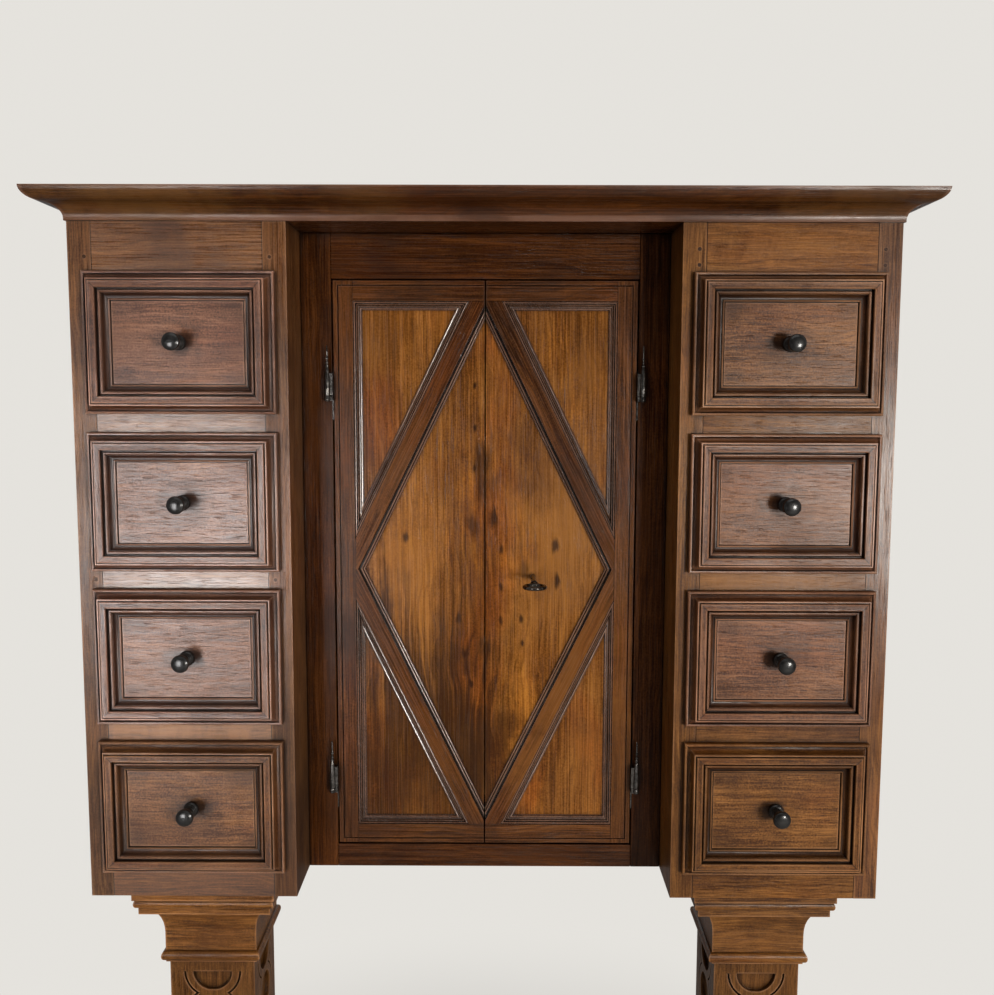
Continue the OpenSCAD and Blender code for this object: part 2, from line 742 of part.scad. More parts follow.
// Half widths of the capital from the case downwards
capital_profile = let (w = plate_w / 2, s = shaft_w / 2 + neck_out, z1 = plate_t + cap_torus_h, z2 = z1 + cap_fillet_h)
    let (z3 = z2 + cap_cove_h, z4 = z3 + cap_step + cap_bead_h) concat(
        [[w, 0], [w, -plate_t], [w - edge_in, -plate_t]],
        arc_points([w - edge_in, -(plate_t + z1) / 2], [edge_in - 1, cap_torus_h / 2], 80, -80, 6),
        [[w - 1.1 * edge_in, -z1], [w - 1.1 * edge_in, -z2]],
        arc_points([s + cove_out, -z2 - cap_cove_drop], [cove_out, cap_cove_drop], 90, 180, 8),
        [[s, -z3 - cap_step]],
        arc_points([s, -z4 + cap_bead_h / 2], [bead_out, cap_bead_h / 2], 80, -80, 6),
        [[s, -z4], [s, -capital_h]]
    );

// Moves to the head of a post
module at_leg(side) {
    translate([side * (tower_mid_x + leg_out), leg_mid_y, 0]) children();
}

// The moulded capitals of both posts
module leg_capitals() {
    color(walnut)
        placed() for (side = [left, right]) at_leg(side) square_moulding(capital_profile);
}

// Places along the shaft of the carved rings' middles, from the top chord to the bottom chord
chain_h = shaft_h - 2 * chord_margin;
carving_groove = 2;
ring_count = max(2, round(chain_h / (2 * ring_r - ring_band)));
ring_pitch = chain_h / ring_count;

// The carved chain on one face, centred across it: z = 0 is the top of the shaft
module chain_2d(outer, inner) {
    intersection() {
        translate([-outer, -shaft_h + chord_margin]) square([2 * outer, chain_h]);
        for (i = [0:ring_count]) translate([0, -chord_margin - i * ring_pitch]) difference() {
            circle(r = outer);
            if (inner > 0) circle(r = inner);
        }
    }
}

// The shafts with a chain of rings sunk in the front and both side faces
module leg_shafts() {
    color(walnut)
        placed() for (side = [left, right]) at_leg(side) translate([0, 0, -capital_h]) difference() {
            translate([-shaft_w / 2, -shaft_w / 2, -shaft_h]) cube([shaft_w, shaft_w, shaft_h]);
            for (turn = [0, 90, -90]) rotate([0, 0, turn]) translate([0, -shaft_w / 2, 0]) facing() {
                translate([0, 0, -carving_d]) linear_extrude(height = carving_d + 1) difference() {
                    chain_2d(ring_r + carving_groove, 0);
                    chain_2d(ring_r, ring_r - ring_band);
                }
            }
        }
}

// Half widths of the base from the shaft down to the plinth
base_profile = let (w = plate_w / 2, s = shaft_w / 2 + neck_out, z1 = neck_h + base_bead_h, z2 = z1 + cap_step + base_cove_h)
    concat(
        [[s, 0], [s, -neck_h]],
        arc_points([s, -neck_h - base_bead_h / 2], [bead_out, base_bead_h / 2], 80, -80, 6),
        [[s, -z1]],
        arc_points([w - edge_in, -z1 - cap_step], [w - edge_in - s, base_cove_h], 180, 270, 8),
        [[w, -z2], [w, -z2 - base_fillet_h]],
        arc_points([w, -base_h + base_torus_h / 2], [base_torus_h / 2, base_torus_h / 2], 85, -90, 7)
    );

// The moulded bases of both posts
module leg_bases() {
    color(walnut)
        placed() for (side = [left, right])
            at_leg(side) translate([0, 0, -capital_h - shaft_h]) square_moulding(base_profile);
}

// The plinths that stand on the floor
module leg_plinths() {
    color(walnut)
        placed() for (side = [left, right])
            at_leg(side) translate([-plinth_w / 2, -plinth_d / 2, -leg_h]) cube([plinth_w, plinth_d, plinth_h]);
}

side_plank(left, opening_x1);  // left_outer_side
side_plank(left, inner_x);  // left_inner_side
side_plank(right, inner_x);  // right_inner_side
side_plank(right, opening_x1);  // right_outer_side
tower_rails(left);  // left_rails
tower_rails(right);  // right_rails
tower_runners(left);  // left_runners
tower_runners(right);  // right_runners
bottom_boards();
back_boards();
top_board();
cornice_front();
cornice_returns();
frame_pegs();
cupboard_stiles();
cupboard_rails();
cupboard_shelves();
shelf_battens();
door_board(left);  // left_door_board
door_frame(left);  // left_door_frame
door_mouldings(left);  // left_door_mouldings
door_board(right);  // right_door_board
door_frame(right);  // right_door_frame
door_mouldings(right);  // right_door_mouldings
hinge_pins();
hinge_barrels(left);  // left_hinge_barrels
hinge_barrels(right);  // right_hinge_barrels
lock_case();
lock_bolt();
key();
leg_capitals();
leg_shafts();
leg_bases();
leg_plinths();
drawer_front(left, 1);  // left_drawer_1_front
drawer_box(left, 1);  // left_drawer_1_box
drawer_knob(left, 1);  // left_drawer_1_knob
drawer_front(left, 2);  // left_drawer_2_front
drawer_box(left, 2);  // left_drawer_2_box
drawer_knob(left, 2);  // left_drawer_2_knob
drawer_front(left, 3);  // left_drawer_3_front
drawer_box(left, 3);  // left_drawer_3_box
drawer_knob(left, 3);  // left_drawer_3_knob
drawer_front(left, 4);  // left_drawer_4_front
drawer_box(left, 4);  // left_drawer_4_box
drawer_knob(left, 4);  // left_drawer_4_knob
drawer_front(right, 1);  // right_drawer_1_front
drawer_box(right, 1);  // right_drawer_1_box
drawer_knob(right, 1);  // right_drawer_1_knob
drawer_front(right, 2);  // right_drawer_2_front
drawer_box(right, 2);  // right_drawer_2_box
drawer_knob(right, 2);  // right_drawer_2_knob
drawer_front(right, 3);  // right_drawer_3_front
drawer_box(right, 3);  // right_drawer_3_box
drawer_knob(right, 3);  // right_drawer_3_knob
drawer_front(right, 4);  // right_drawer_4_front
drawer_box(right, 4);  // right_drawer_4_box
drawer_knob(right, 4);  // right_drawer_4_knob
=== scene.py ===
"""Walnut cabinet on two carved posts: materials, worn edges, floor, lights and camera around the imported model."""
import math

import bpy
from mathutils import Matrix, Vector

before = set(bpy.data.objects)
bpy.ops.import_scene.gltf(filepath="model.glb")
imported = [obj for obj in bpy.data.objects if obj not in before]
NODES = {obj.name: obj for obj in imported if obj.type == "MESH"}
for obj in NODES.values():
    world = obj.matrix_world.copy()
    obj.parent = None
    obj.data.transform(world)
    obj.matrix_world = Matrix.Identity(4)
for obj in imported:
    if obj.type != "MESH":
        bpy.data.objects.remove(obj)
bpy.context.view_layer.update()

# Places in the case's own frame, in metres; its origin is under the middle of the case at the towers' front
SHIFT = Vector((0.0, -0.0965, 0.8))
# Middle of the right tower's drawers, middle of the top row, and the distance from row to row
DRAWER_X, ROW_1_Z, PITCH = 0.3115, 0.594, 0.164
# A drawer front's width and height, and the width of its mitred frame
FRONT_W, FRONT_H, FRAME_W = 0.196, 0.145, 0.031
# Distances from the case's middle at which the towers' rails meet the planks
RAIL_ENDS = (0.226, 0.401)
# The doors' middle height, and the distances from the doors' middle to the inner edges of their stiles and rails
DOOR_MID_Z, STILE_X, DOOR_RAIL_Z = 0.34725, 0.145, 0.29675
# Cosine and sine of the angle at which the doors' slanting bands lean
BAND_COS, BAND_SIN = 0.898, 0.440


def place(x, y, z):
    """A point of the case's frame in the row frame."""
    return Vector((x, y, z)) + SHIFT


def scaled(colour, by):
    return tuple(c * by for c in colour)


# ---------------------------------------------------------------- node helpers
class Graph:
    """Empties a node tree, adds nodes to it and links them."""

    def __init__(self, tree):
        tree.nodes.clear()
        self.nodes = tree.nodes
        self.links = tree.links

    def put(self, socket, value):
        if isinstance(value, bpy.types.NodeSocket):
            self.links.new(value, socket)
        elif isinstance(value, (tuple, list)) and len(value) == 3 and len(socket.default_value) == 4:
            socket.default_value = (*value, 1.0)
        else:
            socket.default_value = value

    def add(self, kind, inputs=None, **props):
        n = self.nodes.new(kind)
        for k, v in props.items():
            setattr(n, k, v)
        for k, v in (inputs or {}).items():
            self.put(n.inputs[k], v)
        return n

    def finish(self, kind, shader):
        """Links a shader to the tree's output."""
        self.links.new(shader.outputs[0], self.add(kind).inputs[0])

    def coordinates(self, kind):
        return self.add("ShaderNodeTexCoord").outputs[kind]

    def math(self, op, a, b=0.0):
        return self.add("ShaderNodeMath", {0: a, 1: b}, operation=op).outputs[0]

    def plus(self, a, b):
        return self.math("ADD", a, b)

    def minus(self, a, b):
        return self.math("SUBTRACT", a, b)

    def times(self, a, b):
        return self.math("MULTIPLY", a, b)

    def size(self, a):
        return self.math("ABSOLUTE", a)

    def radius(self, a, b):
        return self.math("SQRT", self.plus(self.times(a, a), self.times(b, b)))

    def vec(self, op, a, b=(0, 0, 0)):
        n = self.add("ShaderNodeVectorMath", {0: a, 1: b}, operation=op)
        return n.outputs["Value" if op == "LENGTH" else "Vector"]

    def xyz(self, v):
        n = self.add("ShaderNodeSeparateXYZ", {0: v})
        return n.outputs[0], n.outputs[1], n.outputs[2]

    def join(self, x, y, z):
        return self.add("ShaderNodeCombineXYZ", {0: x, 1: y, 2: z}).outputs[0]

    def noise(self, v, scale, detail, rough, distortion=0.0):
        inputs = {"Vector": v, "Scale": scale, "Detail": detail, "Roughness": rough, "Distortion": distortion}
        return self.add("ShaderNodeTexNoise", inputs).outputs["Fac"]

    def span(self, v, a, b, lo=0.0, hi=1.0):
        """Runs smoothly from lo to hi as v goes from a to b."""
        inputs = {"Value": v, "From Min": a, "From Max": b, "To Min": lo, "To Max": hi}
        return self.add("ShaderNodeMapRange", inputs, interpolation_type="SMOOTHSTEP").outputs["Result"]

    def near(self, distance, full, none, strength=1.0):
        """A mask of the given strength up to the distance full that is gone at the distance none."""
        return self.span(distance, full, none, strength, 0.0)

    def mix(self, f, a, b, mode="MIX"):
        n = self.add("ShaderNodeMix", data_type="RGBA", blend_type=mode)
        self.put(n.inputs["Factor"], f)
        self.put(n.inputs[6], a)
        self.put(n.inputs[7], b)
        return n.outputs[2]

    def tint(self, f, colour, by):
        return self.mix(f, colour, by, "MULTIPLY")

    def mix_vec(self, f, a, b):
        n = self.add("ShaderNodeMix", data_type="VECTOR")
        self.put(n.inputs["Factor"], f)
        self.put(n.inputs[4], a)
        self.put(n.inputs[5], b)
        return n.outputs[1]

    def mix_shaders(self, f, a, b):
        return self.add("ShaderNodeMixShader", {0: f, 1: a.outputs[0], 2: b.outputs[0]})

    def open_to(self, reach, samples, inside=False):
        """How open the surface is within reach, or with inside how thick the piece is there."""
        n = self.add("ShaderNodeAmbientOcclusion", {"Distance": reach}, samples=samples, inside=inside)
        return n.outputs["AO"]

    def ramp(self, f, stops):
        n = self.add("ShaderNodeValToRGB", {0: f})
        e = n.color_ramp.elements
        while len(e) < len(stops):
            e.new(0.5)
        for k, (p, c) in enumerate(stops):
            e[k].position = p
            e[k].color = (*c, 1.0)
        return n.outputs["Color"]


def new_material(name):
    m = bpy.data.materials.new(name)
    m.use_nodes = True
    g = Graph(m.node_tree)
    shader = g.add("ShaderNodeBsdfPrincipled")
    g.finish("ShaderNodeOutputMaterial", shader)
    return m, g, shader


def set_polish(shader, spec, coat, coat_rough):
    shader.inputs["Specular IOR Level"].default_value = spec
    shader.inputs["Coat Weight"].default_value = coat
    shader.inputs["Coat Roughness"].default_value = coat_rough


# ---------------------------------------------------------------- wood
# Tones, linear: light, middle, dark
REDDISH = ((0.270, 0.120, 0.063), (0.165, 0.066, 0.032), (0.060, 0.020, 0.010))
RUSSET = ((0.280, 0.118, 0.048), (0.165, 0.062, 0.023), (0.060, 0.020, 0.008))
UMBER = ((0.290, 0.128, 0.046), (0.160, 0.063, 0.020), (0.055, 0.018, 0.005))
OLIVE = ((0.310, 0.128, 0.030), (0.172, 0.066, 0.013), (0.058, 0.018, 0.003))
GOLDEN = ((0.350, 0.138, 0.025), (0.190, 0.066, 0.010), (0.065, 0.019, 0.003))
SHADED = ((0.115, 0.037, 0.008), (0.055, 0.016, 0.003), (0.018, 0.005, 0.001))
FRAMED = ((0.150, 0.052, 0.013), (0.075, 0.024, 0.006), (0.025, 0.008, 0.002))
DEEP = ((0.150, 0.064, 0.028), (0.080, 0.031, 0.013), (0.026, 0.009, 0.004))
INNER = ((0.560, 0.400, 0.240), (0.450, 0.300, 0.170), (0.300, 0.190, 0.100))

# How much each layer of the figure counts in the tone, and half of their sum, which centres the tone
CLOUD, STREAK, FIBRE, FLECK, CURL = 0.90, 0.95, 1.35, 0.90, 0.35
HALF_SUM = 2.225
# Offsets that cut the lengths of a frame or band from different places of the board
SIDE_CUT, LEVEL_CUT, BAND_CUT = 0.37, 0.71, 0.31
# Offset of the grain for each step of a material's seed
SEED_STEP = (1.37, 0.73, 2.11)
# Distances from a joint at which its dark line is full and gone
MITRE_LINE, DOOR_LINE, RAIL_LINE = (0.0003, 0.0009), (0.0002, 0.0007), (0.0004, 0.0014)
# How far the painted shade and dark wax reach out of a corner
WAX_AND_SHADE_REACH = 0.011
# Depths and strengths of the fibres' relief and of the board's waves
FIBRE_DEPTH, FIBRE_RELIEF, WAVE_DEPTH, WAVE_RELIEF = 0.0004, 0.45, 0.0016, 0.30


def drawer_frame(g, x, z, along, centre):
    """The grain of a drawer front, upright in the sides of its mitred frame.

    Returns it with the mitres' dark lines, the frame's mask, and the distance past the front's outline.
    """
    across, up = g.minus(x, centre[0]), g.minus(z, centre[2])
    dx = g.minus(g.size(across), FRONT_W / 2)
    dz = g.minus(g.size(up), FRONT_H / 2)
    past = g.math("MAXIMUM", dx, dz)
    border = g.math("GREATER_THAN", past, -FRAME_W)
    upright = g.times(g.math("GREATER_THAN", dx, dz), g.math("GREATER_THAN", dx, -FRAME_W))
    side = g.times(upright, g.math("SIGN", across))
    level = g.times(g.minus(border, upright), g.math("SIGN", up))
    shift = g.plus(g.times(side, SIDE_CUT), g.times(level, LEVEL_CUT))
    p = g.vec("ADD", g.mix_vec(upright, along["x"], along["z"]), g.join(shift, shift, 0.0))
    mitre = g.near(g.size(g.minus(dx, dz)), *MITRE_LINE)
    return p, g.times(g.times(mitre, border), 0.85), border, past


def door_bands(g, x, y, z, along):
    """The grain of what is laid on the doors, along the bands, rails and stiles, and their joints' dark lines."""
    up = g.minus(z, SHIFT.z + DOOR_MID_Z)
    turn = g.times(g.math("SIGN", x), g.math("SIGN", up))
    across = g.plus(g.times(x, BAND_COS), g.times(g.times(z, BAND_SIN), turn))
    lengthways = g.minus(g.times(z, BAND_COS), g.times(g.times(x, BAND_SIN), turn))
    slant = g.join(g.plus(across, g.times(turn, BAND_CUT)), y, lengthways)
    ax, az = g.size(x), g.size(up)
    stile = g.math("GREATER_THAN", ax, STILE_X)
    rail = g.math("GREATER_THAN", az, DOOR_RAIL_Z)
    p = g.mix_vec(stile, g.mix_vec(rail, slant, along["x"]), along["z"])
    line_x = g.near(g.size(g.minus(ax, STILE_X)), *DOOR_LINE)
    line_z = g.times(g.near(g.size(g.minus(az, DOOR_RAIL_Z)), *DOOR_LINE), g.minus(1.0, stile))
    return p, g.times(g.math("MAXIMUM", line_x, line_z), 0.7)


def rail_joints(g, x):
    """The dark lines where the ends of the towers' rails meet the planks."""
    away = [g.size(g.minus(g.size(x), e)) for e in RAIL_ENDS]
    return g.near(g.math("MINIMUM", *away), *RAIL_LINE, 0.85)


def wood(name, tones, grain, seed, ring=0.0045, length=1.0, contrast=1.0, bright=1.0, mottle=0.6, patchy=0.0,
         relief_by=1.0, gloss=0.34, spec=0.42, coat=0.04, wax_and_shade=0.85, rub_and_highlight=0.0, rub_highlight_reach=0.0030, spots=(),
         sheen_spots=(), sheen_colour=None, mark_y=0.075, mark_squash=(1.0, 0.2, 0.5), frame_at=None, frame_dark=0.75,
         slants=False, ends=False, dull_below=None, lower_tint=(1.0, 0.92, 0.68)):
    """Waxed wood with growth rings, fibre, pores, painted shade and dark wax in the corners, and edges painted
    lighter.

    grain is the axis of the fibres and seed the place in the board; ring is the width of a growth ring, and
    length draws the streaks out along the grain; contrast, bright, mottle and patchy set the figure, its
    light, its fine specks and its broad patches; relief_by scales the relief.
    gloss is the roughness, spec and coat the polish; wax_and_shade is the dark wax and painted shade in the corners;
    rub_and_highlight is how much the edges are painted lighter, as wear and as highlight, over rub_highlight_reach.
    spots and sheen_spots are marks of x, z, radius and strength in the case's frame, at the depth mark_y;
    sheen_spots are painted sheen and highlights. mark_squash scales the distances from them, and the sheen ones take
    the colour sheen_colour or else the light tone.
    frame_at is a drawer's centre, whose mitred frame turns the grain and is darkened by frame_dark; slants
    turns the grain along the doors' bands; ends darkens the joints of the towers' rails.
    dull_below is the pair of heights between which the wood turns darker, by the tint lower_tint, and its wax
    duller.
    """
    m, g, shader = new_material(name)
    here = g.coordinates("Object")
    x, y, z = g.xyz(here)
    along = {"x": g.join(z, y, x), "y": g.join(x, z, y), "z": g.join(x, y, z)}
    p, joint = along[grain], None
    if frame_at is not None:
        p, joint, border, past = drawer_frame(g, x, z, along, frame_at)
    if slants:
        p, joint = door_bands(g, x, y, z, along)
    if ends:
        joint = rail_joints(g, x)
    p = g.vec("ADD", p, tuple(seed * step for step in SEED_STEP))
    px, py, pz = g.xyz(p)

    def at(u, v, across, lengthways):
        return g.join(g.times(u, across), g.times(v, across), g.times(pz, lengthways))

    def thin(u, v, across, lengthways, detail, rough):
        return g.noise(at(u, v, across, lengthways / length), 1.0, detail, rough)

    def patches(stretch, offset):
        return g.noise(g.vec("ADD", g.vec("MULTIPLY", p, stretch), offset), 1.0, 3.0, 0.6)

    # growth rings round a pith line that wanders and leans
    wander = g.times(g.minus(g.noise(at(px, py, 2.0, 1.0), 5.0, 3.0, 0.55), 0.5), 0.060)
    ripple = g.times(g.minus(g.noise(at(px, py, 14.0, 1.2), 6.0, 3.0, 0.6), 0.5), 0.010)
    rx = g.plus(g.plus(px, wander), g.times(g.math("SINE", g.times(pz, 3.1)), 0.020))
    ry = g.plus(g.plus(py, 0.06), ripple)
    turn = g.math("FRACT", g.math("DIVIDE", g.radius(rx, ry), ring))
    rings = g.span(turn, 0.0, 1.0)
    late = g.times(g.span(turn, 0.55, 0.92), g.span(turn, 1.0, 0.94))
    # fibres, flecks and pores, long and thin along the grain
    fibre = thin(px, py, 620.0, 14.0, 4.0, 0.75)
    streak = thin(rx, ry, 170.0, 5.0, 4.0, 0.65)
    fleck = thin(px, py, 1150.0, 45.0, 2.0, 0.6)
    speck = g.noise(g.vec("MULTIPLY", here, (520.0, 520.0, 520.0)), 1.0, 2.0, 0.6)
    pores = g.span(thin(px, py, 1300.0, 55.0, 2.0, 0.6), 0.58, 0.70)
    # broad figure, curl across the grain and patches of stain
    cloud = thin(rx, ry, 22.0, 5.0, 4.0, 0.6)
    curl = thin(px, py, 30.0, 75.0, 3.0, 0.6)
    stain = g.noise(g.vec("MULTIPLY", here, (7.0, 7.0, 7.0)), 1.0, 4.0, 0.6, 0.6)
    hue = patches((16.0, 16.0, 6.0), (seed, 3.0, 1.0))

    # the figure's tone and colour
    light, mid, deep = (scaled(t, bright) for t in tones)
    tone = g.times(cloud, CLOUD * contrast)
    for part, weight in ((streak, STREAK), (fibre, FIBRE), (fleck, FLECK), (curl, CURL), (speck, mottle)):
        tone = g.plus(tone, g.times(part, weight * contrast))
    tone = g.minus(tone, (HALF_SUM + mottle / 2) * contrast - 0.5)
    tone = g.plus(tone, g.times(g.minus(rings, 0.5), 0.12))
    colour = g.ramp(tone, [(0.16, deep), (0.46, mid), (0.80, light)])
    warm = tuple(c * t for c, t in zip(light, (0.80, 0.70, 0.48)))
    colour = g.mix(g.span(hue, 0.46, 0.70, 0.0, 0.40), colour, warm)
    if patchy:
        redder, paler = patches((11.0, 11.0, 5.0), (4.0, seed, 9.0)), patches((17.0, 17.0, 8.0), (1.0, 7.0, seed))
        colour = g.tint(g.span(redder, 0.48, 0.66, 0.0, patchy), colour, (0.96, 0.76, 0.66))
        colour = g.tint(g.span(paler, 0.50, 0.68, 0.0, patchy), colour, (1.30, 1.27, 1.00))
    colour = g.mix(g.times(late, 0.42), colour, deep)
    colour = g.mix(g.times(pores, 0.55), colour, scaled(deep, 0.5))
    colour = g.mix(g.span(stain, 0.47, 0.76, 0.0, 0.62), colour, deep)

    # marks with wavy outlines, the pale ones painted sheen and highlight, soft from their middle
    wobble = g.join(g.minus(curl, 0.5), 0.0, g.minus(streak, 0.5))
    for marks, paint, core in ((sheen_spots, sheen_colour or light, 0.0), (spots, scaled(deep, 0.3), 0.25)):
        for mx, mz, r, strength in marks:
            d = g.vec("MULTIPLY", g.vec("SUBTRACT", here, tuple(place(mx, mark_y, mz))), mark_squash)
            d = g.vec("ADD", d, g.vec("MULTIPLY", wobble, (r * 2.0, 0.0, r * 2.0)))
            colour = g.mix(g.times(g.near(g.vec("LENGTH", d), r * core, r), strength), colour, paint)
    if frame_at is not None:
        colour = g.tint(g.times(border, frame_dark), colour, (0.62, 0.57, 0.54))
        # the hollow next to the field is painted in shade
        hollow_shade = g.near(past, 0.006 - FRAME_W, 0.014 - FRAME_W, 0.75)
        colour = g.tint(g.times(hollow_shade, border), colour, (0.42, 0.38, 0.36))
    if joint is not None:
        colour = g.mix(joint, colour, scaled(deep, 0.2))

    # painted shade and dark wax in the corners, edges painted lighter as wear and highlight, and a darker, duller
    # lower part
    # ambient occlusion paints shade, together with dark wax, into corners and grooves
    clear = g.span(g.open_to(WAX_AND_SHADE_REACH, 8), 0.34, 0.97)
    colour = g.mix(g.times(g.minus(1.0, clear), wax_and_shade), colour, scaled(deep, 0.14))
    # edges painted lighter, partly as wear and partly as painted highlight
    if rub_and_highlight:
        thinness = g.near(g.open_to(rub_highlight_reach, 6, inside=True), 0.55, 0.88)
        rubbed_highlit = g.times(g.times(thinness, g.span(stain, 0.38, 0.62, 1.0, 0.35)), clear)
        colour = g.mix(g.times(rubbed_highlit, rub_and_highlight), colour, tuple(c * 1.5 + 0.07 for c in light))
    rough = g.plus(g.span(fibre, 0.3, 0.7, gloss - 0.05, gloss + 0.09), g.times(pores, 0.15))
    rough = g.plus(rough, g.span(stain, 0.3, 0.7, -0.04, 0.06))
    if dull_below is not None:
        low = g.near(z, SHIFT.z + dull_below[0], SHIFT.z + dull_below[1])
        colour = g.tint(g.times(low, low), colour, lower_tint)
        rough = g.plus(rough, g.times(low, 0.25))
    g.put(shader.inputs["Base Color"], colour)
    g.put(shader.inputs["Roughness"], rough)
    set_polish(shader, spec, coat, 0.22)

    relief = g.minus(g.plus(g.times(fibre, 0.6), g.times(curl, 0.8)), g.times(pores, 0.7))
    bump = g.add("ShaderNodeBump", {"Strength": FIBRE_RELIEF * relief_by, "Distance": FIBRE_DEPTH, "Height": relief})
    wave = g.noise(g.vec("MULTIPLY", p, (30.0, 30.0, 9.0)), 1.0, 2.0, 0.5)
    soft = g.add("ShaderNodeBump", {"Strength": WAVE_RELIEF * relief_by, "Distance": WAVE_DEPTH, "Height": wave,
                                    "Normal": bump.outputs[0]})
    g.put(shader.inputs["Normal"], soft.outputs[0])
    return m


# ---------------------------------------------------------------- pieces
SMOOTH_ANGLE, FLAT_ANGLE, BEVEL_ANGLE = math.radians(32.0), math.radians(0.3), math.radians(50.0)
WELD_GAP = 0.00002
# Widths of the worn edges: of the towers' rails and the doors' frames, of boards and planks, and of the posts
FINE_EDGE, BOARD_EDGE, POST_EDGE = 0.0005, 0.0008, 0.0016


def smooth_tree():
    """Smooth shading across edges that turn less than SMOOTH_ANGLE."""
    t = bpy.data.node_groups.new("smooth_by_angle", "GeometryNodeTree")
    for way in ("INPUT", "OUTPUT"):
        t.interface.new_socket("Geometry", in_out=way, socket_type="NodeSocketGeometry")
    start = t.nodes.new("NodeGroupInput")
    end = t.nodes.new("NodeGroupOutput")
    faces = t.nodes.new("GeometryNodeSetShadeSmooth")
    edges = t.nodes.new("GeometryNodeSetShadeSmooth")
    edges.domain = "EDGE"
    angle = t.nodes.new("GeometryNodeInputMeshEdgeAngle")
    small = t.nodes.new("ShaderNodeMath")
    small.operation = "LESS_THAN"
    small.inputs[1].default_value = SMOOTH_ANGLE
    t.links.new(angle.outputs["Unsigned Angle"], small.inputs[0])
    t.links.new(start.outputs[0], faces.inputs["Geometry"])
    t.links.new(faces.outputs[0], edges.inputs["Geometry"])
    t.links.new(small.outputs[0], edges.inputs["Shade Smooth"])
    t.links.new(edges.outputs[0], end.inputs[0])
    return t


SMOOTH = smooth_tree()


def dress(nodes, material, edge=0.0):
    """Gives CAD nodes their material, smooth curves and, where edge is set, worn edges of that width."""
    for node in nodes.split():
        o = NODES[node]
        o.data.materials.clear()
        o.data.materials.append(material)
        o.modifiers.new("weld", "WELD").merge_threshold = WELD_GAP
        if edge:
            flat = o.modifiers.new("whole_faces", "DECIMATE")
            flat.decimate_type = "DISSOLVE"
            flat.angle_limit = FLAT_ANGLE
        o.modifiers.new("smooth", "NODES").node_group = SMOOTH
        if edge:
            bevel = o.modifiers.new("worn_edges", "BEVEL")
            bevel.width = edge
            bevel.segments = 2
            bevel.limit_method = "ANGLE"
            bevel.angle_limit = BEVEL_ANGLE
            bevel.harden_normals = True


# ---------------------------------------------------------------- case
left_side = wood("left_upright", UMBER, "z", 1.0, gloss=0.30, spec=0.33, length=1.6, rub_and_highlight=0.5, patchy=0.5,
                 bright=0.80, dull_below=(0.10, 0.40), lower_tint=(0.66, 0.66, 0.60))
right_outer = wood("right_outer_upright", UMBER, "z", 1.4, gloss=0.30, spec=0.30, length=1.6, rub_and_highlight=0.5,
                   patchy=0.5, dull_below=(0.16, 0.40))
right_inner = wood("right_inner_upright", OLIVE, "z", 1.7, gloss=0.32, spec=0.20, length=1.6, rub_and_highlight=0.5,
                   patchy=0.5)
post_head = wood("capital_wood", OLIVE, "x", 2.0, gloss=0.30, spec=0.24, rub_and_highlight=0.7, patchy=0.5, contrast=1.25,
                 bright=0.95)
# the left rails' pale spot is painted sheen
left_rail = wood("left_rail_wood", UMBER, "x", 3.3, gloss=0.25, spec=0.62, wax_and_shade=0.45, relief_by=0.5,
                 contrast=0.85, bright=1.04, ends=True, dull_below=(0.10, 0.32), lower_tint=(0.78, 0.70, 0.52),
                 sheen_spots=[(-0.33, 0.184, 0.10, 0.55)], sheen_colour=(0.42, 0.180, 0.050), mark_y=0.0,
                 mark_squash=(0.6, 0.2, 2.0))
# the right rails' pale spots are painted sheen
right_rail = wood("right_rail_wood", OLIVE, "x", 3.6, gloss=0.30, spec=0.20, wax_and_shade=0.6, patchy=0.5, bright=1.08,
                  ends=True, sheen_spots=[(0.28, 0.348, 0.11, 0.60), (0.33, 0.69, 0.06, 0.35)],
                  sheen_colour=(0.43, 0.185, 0.050), mark_y=0.0, mark_squash=(0.6, 0.2, 2.0))
post = wood("post_wood", OLIVE, "z", 3.9, gloss=0.32, spec=0.20, rub_and_highlight=0.7, bright=0.74)
# the cornice's pale spots are painted highlights
cornice = wood("cornice_wood", SHADED, "x", 4.1, gloss=0.24, spec=0.25, length=2.0, rub_and_highlight=0.8, patchy=0.6,
               sheen_spots=[(-0.34, 0.735, 0.13, 0.55), (0.37, 0.735, 0.11, 0.40), (-0.12, 0.74, 0.05, 0.30)],
               sheen_colour=(0.170, 0.075, 0.020), mark_y=-0.03, mark_squash=(0.8, 0.2, 1.5))
cornice_return = wood("cornice_return_wood", SHADED, "y", 4.6, gloss=0.24, spec=0.25, rub_and_highlight=0.8)
shaded_level = wood("shaded_level", SHADED, "x", 4.8, gloss=0.22, spec=0.14, length=2.0, patchy=0.5)
shaded_upright = wood("shaded_upright", SHADED, "z", 4.9, gloss=0.22, spec=0.10, length=2.0, patchy=0.5)
INNER_LOOK = dict(gloss=0.55, coat=0.0, wax_and_shade=0.5)
inner_deep = wood("inner_wood_deep", INNER, "y", 5.0, **INNER_LOOK)
inner_wide = wood("inner_wood_wide", INNER, "x", 5.5, **INNER_LOOK)
inner_tall = wood("inner_wood_tall", INNER, "z", 5.8, **INNER_LOOK)

